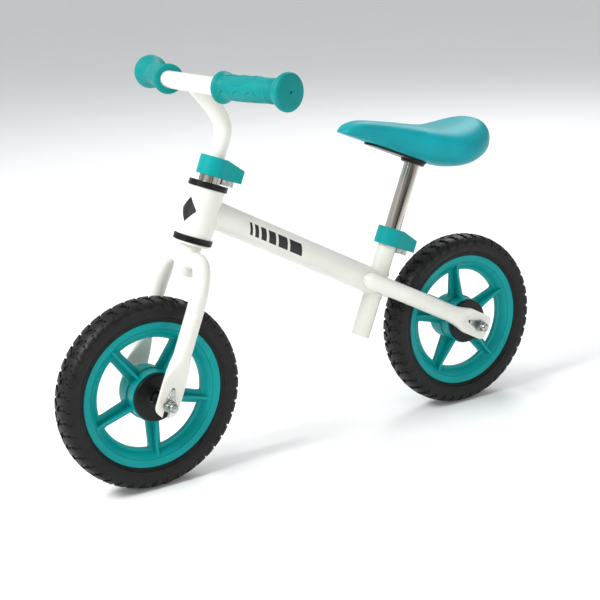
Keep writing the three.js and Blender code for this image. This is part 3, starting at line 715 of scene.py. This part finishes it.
def axle_fittings(prefix, matrix, body, dropout, tab_turn):
    turn = Matrix.Rotation(math.radians(tab_turn), 4, "X")
    face = Matrix.Translation((dropout + PLATE_HALF, 0, 0))
    inner = dropout - PLATE_HALF - 0.3
    for side, flip in FLIPS:
        outer = matrix @ flip @ face
        stand_in(f"{prefix}_axle_nut_{side}", dome_nut(), outer @ ALONG_X, body, 0.35, 35)
        stand_in(f"{prefix}_tab_washer_{side}", tab_washer(), outer @ turn @ ALONG_X, body, 0.3, 35)
        spacer = spun([(4.3, 18.3), (8, 18.3), (8, inner - 7), (7.2, inner - 6.4),
                       (7.2, inner - 5.4), (8, inner - 4.8), (8, inner), (4.3, inner)], 40)
        stand_in(f"{prefix}_axle_spacer_{side}", spacer, matrix @ flip @ ALONG_X, body, 0.2, 30)


axle_fittings("front", HEAD, "fork", FORK_DROPOUT, 180)
axle_fittings("rear", TAIL, "frame", STAY_DROPOUT, 0)
print("axle fittings made")

# %% [markdown]
# ## Wheels
# The rim, spokes and hub are one plastic moulding.  The rim's face slopes in to a thin inner lip.
# Each spoke is a flat web in the wheel's plane with a thin blade across it, which runs out to a
# point on the rim: that shape leaves the mould easily and is stiff both ways.  The round parts
# are turned, the two plates of a spoke are extruded outlines, and one spoke is repeated by turns.

# %% Rim, spokes and hub
FRONT_SPOKE, REAR_SPOKE, SPOKES = -17.0, 22.0, 5
HUB_RADIUS, HUB_HALF = 32.0, 20.0


def mirrored(half):
    """A profile's half on the +height side, completed on the other side."""
    return [(radius, -height) for radius, height in half] + list(reversed(half))


def rim_profile():
    return mirrored([(71, 2.6), (71.4, 3.1), (74.2, 3.1), (74.8, 3.4), (76.2, 5.2), (78.6, 8.2),
                     (80.6, 10.3), (82, 11.5), (82.9, 12.2), (83.1, 11.5), (83.8, 11.6),
                     (84.1, 12.6), (92.4, 14.3), (93, 14.0)])


def spoke_blade():
    outline = mirrored([(81.6, 11.3), (70, 9.6), (31, 16.0), (29, 16.4)])
    across_y = Matrix(((0, 1, 0, 0), (1, 0, 0, 0), (0, 0, 1, 0), (0, 0, 0, 1)))
    return moved(prism(outline, -1.7, 1.7), across_y)


def spoke_web():
    outline = mirrored([(73, 10.5), (70, 8.8), (66, 8.2), (40, 8.9), (29.5, 9.6)])
    return moved(prism(outline, -2.2, 2.2), STAND_ON_YZ)


def wheel_moulding(first_spoke):
    parts = [moved(spun(rim_profile(), 128), ALONG_X),
             moved(ring(HUB_RADIUS, 29, -HUB_HALF, HUB_HALF, 72), ALONG_X),
             moved(ring(HUB_RADIUS + 1.6, 31, -3.2, 3.2, 72), ALONG_X),
             moved(ring(30, 13, -2, 2, 48), ALONG_X),
             moved(ring(14.3, 11.3, -18.5, 18.5, 40), ALONG_X)]
    for i in range(SPOKES):
        turn = Matrix.Rotation(math.radians(first_spoke) + i * math.tau / SPOKES, 4, "X")
        parts += [moved(spoke_blade(), turn), moved(spoke_web(), turn)]
    return joined(*parts)


def hub_cap():
    face = HUB_HALF + 0.3
    return spun([(9, face), (30.5, face), (30.5, face + 2.9), (29.6, face + 3.9), (27.5, face + 4),
                 (25.5, face + 3.4), (13, face + 2.6), (11.4, face + 3.3), (9, face + 3.4)], 72)


print("spokes start", FRONT_SPOKE, "and", REAR_SPOKE, "degrees from upright")

# %% [markdown]
# ## Tyres
# The tyre is one ring of foam, moulded in a tread pattern.  A plain section is spun round the
# wheel in narrow steps.  The tread faces that belong to a block are then lifted a little, and the
# faces between them stay low as grooves, in steps that zigzag from one shoulder to the other.
# Real geometry is used and not bump, because the blocks show in the tyre's outline.

# %% Tyre with tread blocks
TYRE_STEPS = 360
TREAD_PITCH = 8            # steps from one cross groove to the next
GROOVE_STEPS = 3           # of those, how many are the groove
TREAD_EDGE = 110           # the tread starts at this radius
BLOCK_HEIGHT = 2.1


def tyre_profile():
    return mirrored([(93.2, 14.2), (95, 15.4), (96.6, 17.0), (97.4, 18.4), (98.8, 18.6),
                     (99.4, 17.9), (101, 18.6), (104, 19.5), (107, 19.6), (110, 19.2),
                     (112.6, 18.3), (115, 16.6), (117, 13.6), (118.2, 10.8), (119.0, 8),
                     (119.6, 4.6), (119.8, 1.5)])


def tread_shift(across):
    """How many steps a cross groove is set forward at this place across the tread."""
    reach = [2.2, 6, 9.5, 12.5, 15.5, 99]
    shift = [0, 1, 2, 3, 2, 1]
    return next(step for limit, step in zip(reach, shift) if abs(across) < limit)


def tyre_mesh():
    bm = moved(spun(tyre_profile(), TYRE_STEPS), ALONG_X)
    blocks = []
    for face in bm.faces:
        centre = face.calc_center_median()
        step = round((math.atan2(centre.z, centre.y) / math.tau) * TYRE_STEPS - 0.5)
        side = 0 if centre.x > 0 else TREAD_PITCH // 2
        phase = (step + side + tread_shift(centre.x)) % TREAD_PITCH
        if centre.yz.length >= TREAD_EDGE and phase >= GROOVE_STEPS:
            blocks.append(face)
    lifted = bmesh.ops.extrude_face_region(bm, geom=blocks)["geom"]
    bmesh.ops.delete(bm, geom=blocks, context="FACES")
    for vert in only(bmesh.types.BMVert, lifted):
        out = Vector((vert.co.x * 0.45, vert.co.y / 4, vert.co.z / 4)).normalized()
        vert.co += out * BLOCK_HEIGHT
    bmesh.ops.recalc_face_normals(bm, faces=bm.faces)
    return bm


def wheel(prefix, axle, first_spoke):
    body = f"{prefix}_wheel"
    place = Matrix.Translation(axle) @ SCALE
    stand_in(f"{prefix}_tyre", tyre_mesh(), place, body, 0.9, 35)
    stand_in(f"{prefix}_rim", wheel_moulding(first_spoke), place, body, 0.4, 30)
    for side, flip in FLIPS:
        stand_in(f"{prefix}_hub_cap_{side}", hub_cap(), place @ flip @ ALONG_X, body, 0.3, 25)


wheel("front", front_axle, FRONT_SPOKE)
wheel("rear", rear_axle, REAR_SPOKE)
print("wheels made")

# %% [markdown]
# ## Handlebar
# The stem is a bent tube that slides in the steerer and curves forward to the bar.
# The bar is straight in the middle and swept back at both ends.  Both are lofts along a path
# whose bends are Bezier curves, because a tube bender leaves the same smooth change of direction.

# %% Stem and bar
BAR_BEND, BAR_SWEEP, GRIP_START, GRIP_LENGTH = 62.0, math.radians(13.5), 7.6, 115.0
bar_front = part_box("handlebar_tube")[0].y / MM
bar_middle = Vector((0, bar_front + POST_RADIUS, middle("handlebar_tube").z / MM))


def out_along(sign, distance):
    return bar_middle + Vector((sign * (BAR_BEND + distance * math.cos(BAR_SWEEP)),
                                distance * math.sin(BAR_SWEEP), 0))


def bar_points():
    reach = GRIP_START + GRIP_LENGTH - 5
    half = []
    for sign in (-1, 1):
        inner = bar_middle + Vector((sign * (BAR_BEND - 9), 0, 0))
        corner = out_along(sign, 0)
        turn = bend(inner, inner.lerp(corner, 0.6), out_along(sign, 9).lerp(corner, 0.6),
                    out_along(sign, 9), 10)
        half.append(turn + straight(out_along(sign, 9), out_along(sign, reach), 3))
    return list(reversed(half[0])) + half[1]


def round_size(radius):
    return lambda point: (radius, radius, 2)


stand_in("handlebar_tube", lofted(bar_points(), Vector((0, 0, 1)), round_size(POST_RADIUS), 40),
         WORLD, "handlebar")
foot = HEAD @ Vector((0, 0, 206)) / MM
bend_start = HEAD @ Vector((0, 0, 330)) / MM
way = (bend_start - foot).normalized()
stem_points = [foot] + straight(foot, bend_start, 4)[:-1]
arrival = Vector((0, -0.65, 0.76))
stem_points += bend(bend_start, bend_start + way * 22, bar_middle - arrival * 30,
                    bar_middle - arrival * 3, 26)
stand_in("handlebar_stem", lofted(stem_points, Vector((1, 0, 0)), round_size(POST_RADIUS), 40),
         WORLD, "handlebar")
print("stem and bar made")

# %% [markdown]
# ## Grips
# A grip is a soft sleeve with a flange by the thumb and a big bulb at its end, which keeps a small
# hand from slipping off and the bar's end from hurting anyone.  The body is turned, and the
# raised arcs that help the hand hold on are thin ropes laid on its surface.

# %% Grips
GRIP_PROFILE = [(11.3, 0.0), (16.2, 0.0), (18.0, 0.6), (19.2, 2.0), (19.5, 3.8), (19.0, 5.6),
                (17.6, 7.4), (16.0, 9.4), (14.9, 12.0), (14.7, 16.0), (15.0, 30.0),
                (15.2, 50.0), (15.0, 68.0), (14.5, 82.0)]
for rib in (85.5, 89.0, 92.5):
    GRIP_PROFILE += [(14.3, rib - 1.2), (14.9, rib - 0.6), (14.9, rib + 0.6), (14.3, rib + 1.2)]
GRIP_PROFILE += [(14.8, 95.0), (16.0, 98.0), (18.2, 101.5), (20.6, 105.0), (22.1, 107.8), (22.6, 110.0),
                 (22.3, 112.0), (21.2, 113.6), (19.0, 114.4), (12.0, 114.9), (1.6, 115.0), (1.5, 111.5),
                 (11.3, 111.5)]
BODY_RADIUS = 15.0


def surface_rope(points, thick):
    """A thin rope along (height, degrees) points on the grip's body, sunk half way into it."""
    bm = bmesh.new()
    loops, places = [], []
    for height, degrees in points:
        angle = math.radians(degrees)
        places.append(Vector((math.cos(angle) * BODY_RADIUS, math.sin(angle) * BODY_RADIUS, height)))
    for i, place in enumerate(places):
        ahead = (places[min(i + 1, len(places) - 1)] - places[max(i - 1, 0)]).normalized()
        out = Vector((place.x, place.y, 0)).normalized()
        taper = thick * math.sqrt(max(0.08, 1 - (2 * i / (len(places) - 1) - 1) ** 2))
        loops.append(section(bm, place, out * taper * 0.8, ahead.cross(out) * taper, 2, 10))
    close_loft(bm, loops)
    return bm


def arc_points(middle_height, half_length, degrees, rise, count=18):
    steps = [2 * i / count - 1 for i in range(count + 1)]
    return [(middle_height + half_length * t, degrees + rise * (1 - t * t)) for t in steps]


def grip_reliefs(down):
    """Front and back carry the same relief: a long smile, arcs above it and crescents below."""
    arcs = [(39, 27, -73, 49, 1.1)]
    arcs += [(height, 8, -104, 20, 1.2) for height in (20, 40, 60)]
    arcs += [(height, 9.5, 26, -28, 1.5) for height in (19, 41, 63)]
    ropes = []
    for height, half_length, degrees, rise, thick in arcs:
        for start, way in ((0, down), (180, -down)):
            path = arc_points(height, half_length, start + way * degrees, way * rise)
            ropes.append(surface_rope(path, thick))
    return ropes


def grip(side, sign):
    """Across the grip, angle 0 faces forward; it turns down on the left grip and up on the right."""
    way = Vector((sign * math.cos(BAR_SWEEP), math.sin(BAR_SWEEP), 0))
    front = Vector((0, 0, -sign)).cross(way)
    turn = Matrix((front, Vector((0, 0, -sign)), way)).transposed().to_4x4()
    bm = joined(spun(GRIP_PROFILE, 72), *grip_reliefs(sign))
    matrix = SCALE @ Matrix.Translation(out_along(sign, GRIP_START)) @ turn
    stand_in(f"grip_{side}", bm, matrix, "handlebar", 0.0, 50)


for side, sign in SIDES:
    grip(side, sign)
print("grips made, each", GRIP_LENGTH, "mm long")

# %% [markdown]
# ## Saddle
# The saddle is foam that grew its own skin in the mould, so it has no seams.
# It is narrow and raised at the nose, dips where the rider sits down, and swells at the back.
# A sewn cushion would be inflated with cloth, but a moulded one keeps the shape of its mould, so
# it is lofted from sections along its length and sliced flat below on the plane of its base.
# Each section is given as how far back it is, its top, its bottom and its half width.

# %% Saddle pad
SADDLE_STATIONS = [(54, 411, 409.5, 5), (58, 415.5, 408, 10.7), (66, 421, 404, 15.9),
                   (85, 423.7, 397, 20.1), (115, 419.4, 384, 24.7), (150, 413, 367, 35),
                   (180, 407, 354, 52), (210, 403.3, 347, 63.6), (235, 405, 346, 62.4),
                   (255, 408.1, 349.6, 54), (270, 408.2, 353, 42.5), (281, 402, 357.4, 31),
                   (289, 392.5, 365.5, 21), (294, 382, 372.5, 11)]


def station_at(y):
    """A smooth curve through the stations, one column at a time."""
    final = len(SADDLE_STATIONS) - 1
    passed = sum(station[0] <= y for station in SADDLE_STATIONS)
    i = max(0, min(final - 1, passed - 1))
    before, low = SADDLE_STATIONS[max(i - 1, 0)], SADDLE_STATIONS[i]
    high, after = SADDLE_STATIONS[i + 1], SADDLE_STATIONS[min(i + 2, final)]
    span = high[0] - low[0]
    t = (y - low[0]) / span
    values = []
    for k in (1, 2, 3):
        rise_a = (high[k] - before[k]) / (high[0] - before[0]) * span
        rise_b = (after[k] - low[k]) / (after[0] - low[0]) * span
        values.append((2 * t ** 3 - 3 * t * t + 1) * low[k] + (t ** 3 - 2 * t * t + t) * rise_a
                      + (3 * t * t - 2 * t ** 3) * high[k] + (t ** 3 - t * t) * rise_b)
    return values


def saddle_shape():
    first, last = SADDLE_STATIONS[0][0], SADDLE_STATIONS[-1][0]
    bm = bmesh.new()
    loops = []
    count = 60
    for i in range(count + 1):
        t = i / count
        y = mix(first, last, 0.5 - 0.5 * math.cos(math.pi * t) * (1 - 0.25 * math.sin(math.pi * t)))
        top, bottom, wide = station_at(y)
        centre, half_height = Vector((0, y, (top + bottom) / 2)), Vector((0, 0, (top - bottom) / 2))
        loops.append(section(bm, centre, half_height, Vector((wide, 0, 0)), 2.35, 48))
    close_loft(bm, loops)
    slice_off(bm, SEAT @ Vector((0, 0, SADDLE_PLANE)) / MM, -seat_axis)
    return bm


pad = stand_in("saddle_pad", saddle_shape(), WORLD, "saddle", 2.0, 40)
print("saddle pad made from", len(SADDLE_STATIONS), "stations")

# %% [markdown]
# ## Saddle base and post
# Under the foam is a black moulded base plate, with a round boss that takes the post.  The plate
# is an extruded outline and the boss is turned.  The post is a chromed tube.  It goes well down
# inside the seat tube, so that it still fills it when the saddle is at its highest.

# %% Saddle base and post
BASE_OUTLINE = [(0, -82), (8, -81), (12, -76), (14, -66), (17, -35), (19, -10), (18, 4), (14, 12),
                (7, 15), (0, 15.5)]


def saddle_base():
    outline = BASE_OUTLINE + mirror_x(BASE_OUTLINE[1:-1])
    plate = prism(outline, SADDLE_PLANE - 3, SADDLE_PLANE - 0.3)
    boss = spun([(11.3, SADDLE_PLANE - 7.5), (15, SADDLE_PLANE - 7.5), (16.5, SADDLE_PLANE - 6.5),
                 (17.2, SADDLE_PLANE - 2.5), (11.3, SADDLE_PLANE - 2.5)], 56)
    return joined(plate, boss)


stand_in("saddle_base", saddle_base(), SEAT, "saddle", 0.5, 30)
stand_in("seat_post", ring(POST_RADIUS, 9.4, -5, SADDLE_PLANE - 2.3), SEAT, "saddle", 0.3)
print("saddle base and post made")

# %% [markdown]
# ## Graphics
# The tube carries a printed film.  Here it is a plain row of slanted bars and a diamond, cut as
# thin patches that wrap round the tube a tenth of a millimetre above the paint.  A mask in the
# material could draw them too, but a real edge stays crisp from close by.

# %% Film graphics
FILM_LIFT = 0.12


def wrapped_patch(corners, radius, steps=10):
    """A four-cornered patch of (height, degrees) corners, divided and wrapped on a cylinder."""
    bm = bmesh.new()
    face = bm.faces.new([bm.verts.new((height, degrees, 0)) for height, degrees in corners])
    bmesh.ops.subdivide_edges(bm, edges=bm.edges, cuts=steps, use_grid_fill=True)
    thick = bmesh.ops.extrude_face_region(bm, geom=list(bm.faces))["geom"]
    bmesh.ops.translate(bm, verts=only(bmesh.types.BMVert, thick), vec=(0, 0, 1))
    for vert in bm.verts:
        angle = math.radians(vert.co.y)
        reach = radius + FILM_LIFT * (vert.co.z - 0.4)
        vert.co = Vector((math.cos(angle) * reach, math.sin(angle) * reach, vert.co.x))
    bmesh.ops.recalc_face_normals(bm, faces=bm.faces)
    return bm


def film(name, patches, matrix):
    made = object_from(name, joined(*patches), matrix)
    finish_piece(made, vinyl, "frame")


BAR_WIDTHS = (4, 6, 8.5, 11.5, 15, 20)
BARS_START, BAR_GAP, BAR_SLANT, BAR_HALF_DEGREES = 62.0, 4, 7, 24
for side, middle_degrees, sign in (("left", -4, 1), ("right", 184, -1)):
    start, patches = BARS_START, []
    slant, reach = BAR_SLANT * sign, BAR_HALF_DEGREES * sign
    low, high = middle_degrees - reach, middle_degrees + reach
    for width in BAR_WIDTHS:
        corners = [(start, low), (start + width, low),
                   (start + width + slant, high), (start + slant, high)]
        patches.append(wrapped_patch(corners, MAIN_RADIUS))
        start += width + BAR_GAP
    film(f"main_tube_film_{side}", patches, MAIN)
film("head_tube_film", [wrapped_patch([(217, -74), (233, -42), (249, -74), (233, -106)], HEAD_RADIUS)],
     HEAD)
print("film graphics made")

# %% [markdown]
# ## Floor and light
# The bike stands on a pale floor in soft studio light: a big key light in front, a wide fill from
# the left and one from above and behind.  The sky is bright and even but for one dark upright
# band off to the side, which gives the chromed tubes something dark to mirror.
# The plain "Standard" view keeps strong colours strong.  Blender's default view, AgX, softens
# bright colours towards white, as film does, and teal under a bright sky would turn greyish.

# %% Floor, lamps and sky
def make_floor():
    bm = bmesh.new()
    bmesh.ops.create_grid(bm, x_segments=2, y_segments=2, size=40)
    made = object_from("floor", bm, Matrix())
    paper, tree, shader, place = new_material("studio_paper", **{"Specular IOR Level": 0.2})
    two_tone(tree, shader, noise(tree, place, 300), 0.3, 0.7, ("#fafafa", "#fcfcfc"))
    rough_between(tree, shader, noise(tree, place, 60), 0.85, 0.95)
    made.data.materials.append(paper)


def make_lamp(name, place, aim, size, watts):
    data = bpy.data.lights.new(name, "AREA")
    data.shape = "DISK"
    data.size = size
    data.energy = watts
    lamp = bpy.data.objects.new(name, data)
    lamp.location = place
    lamp.rotation_euler = (Vector(aim) - Vector(place)).to_track_quat("-Z", "Y").to_euler()
    bpy.context.scene.collection.objects.link(lamp)


make_floor()
make_lamp("key", (0.2, -2.4, 2.6), (0, 0, 0.25), 1.2, 100)
make_lamp("fill", (2.8, 0.6, 1.2), (0, 0, 0.25), 1.6, 12)
make_lamp("back", (-1.4, 1.9, 2.4), (0, 0, 0.3), 1.4, 36)
world = bpy.data.worlds.new("studio")
world.use_nodes = True
sky = world.node_tree
toward = add_node(sky, "ShaderNodeTexCoord").outputs["Generated"]
sideways = add_node(sky, "ShaderNodeVectorMath", {0: toward, 1: (0.5, 0.866, 0.0)},
                    operation="DOT_PRODUCT")
bands = add_node(sky, "ShaderNodeValToRGB", {"Fac": sideways.outputs["Value"]})
bands.color_ramp.elements[0].color = srgb("#f2f5f7")
bands.color_ramp.elements[1].position = 0.3
bands.color_ramp.elements[1].color = srgb("#f2f5f7")
for position, code in ((0.38, "#3a332c"), (0.58, "#4a4138"), (0.66, "#f2f5f7")):
    bands.color_ramp.elements.new(position).color = srgb(code)
sky.links.new(bands.outputs["Color"], sky.nodes["Background"].inputs["Color"])
sky.nodes["Background"].inputs["Strength"].default_value = 0.72
bpy.context.scene.world = world
bpy.context.scene.view_settings.view_transform = "Standard"
print("floor, three lamps and a sky made")
